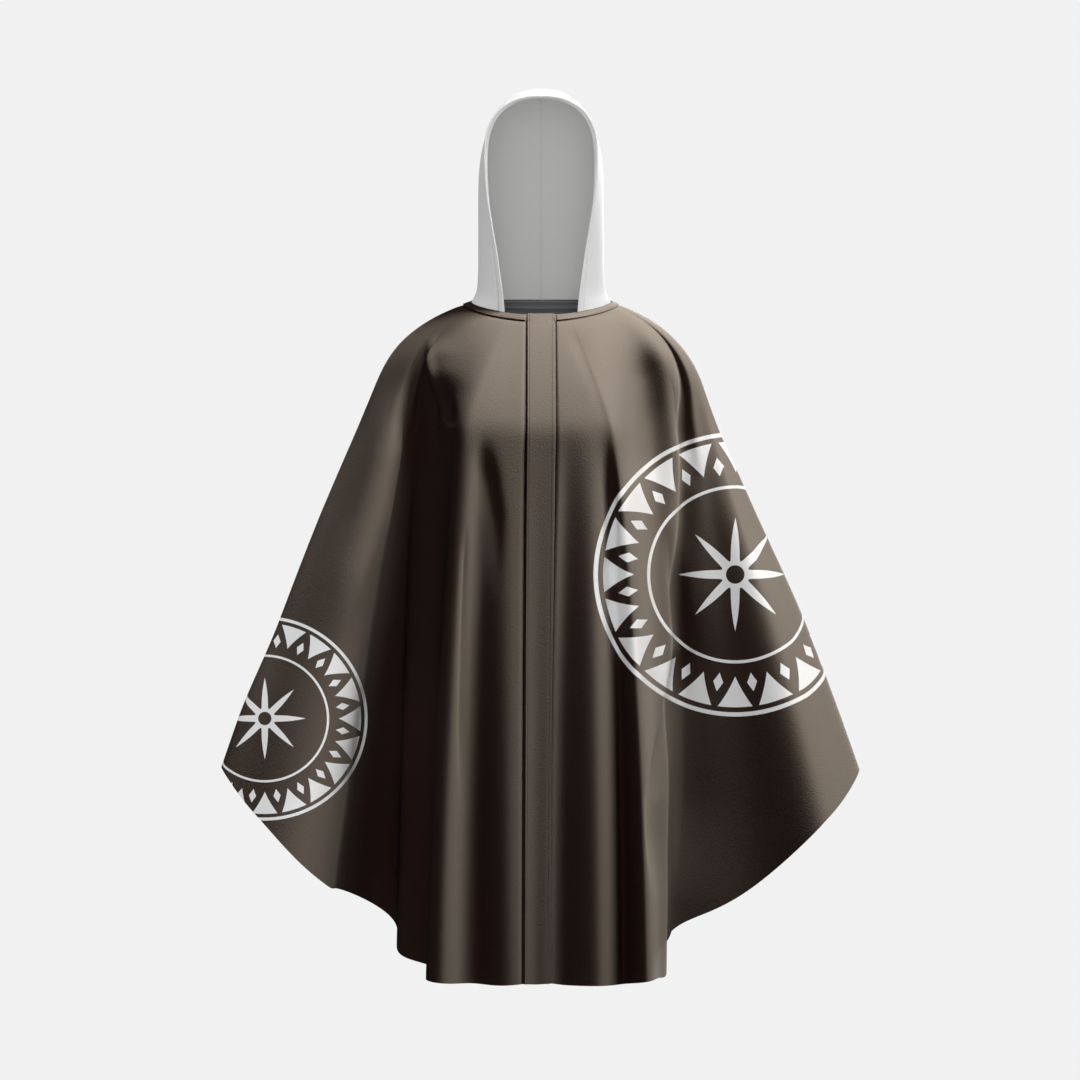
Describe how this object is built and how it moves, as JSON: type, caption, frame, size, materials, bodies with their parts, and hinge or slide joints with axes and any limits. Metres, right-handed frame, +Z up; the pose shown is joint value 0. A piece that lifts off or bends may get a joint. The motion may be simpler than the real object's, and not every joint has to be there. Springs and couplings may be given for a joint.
{
  "type": "hooded poncho cape",
  "caption": "Long hooded poncho cape hanging open and hollow as worn, with wide overarm wings, a covered front placket, a narrow neckband and a close-fitting hood.",
  "frame": {"origin": "middle of the neck opening, level with the neck seam, where the wearer's shoulders hold the cape up", "axes": "+X to the wearer's left, +Y from front to back, +Z up"},
  "size_m": [0.9184, 0.4184, 1.3101],
  "materials": {
    "poncho_cloth": "matt brown-grey cloth with a soft nap",
    "hood_cloth": "matt off-white cloth",
    "facing_cloth": "matt slate-grey cloth"
  },
  "bodies": {
    "root": {"front_left": "poncho_cloth", "front_right": "poncho_cloth", "back": "poncho_cloth", "placket": "poncho_cloth", "neckband": "poncho_cloth", "neck_facing": "facing_cloth", "hood_left": "hood_cloth", "hood_right": "hood_cloth"}
  },
  "joints": []
}
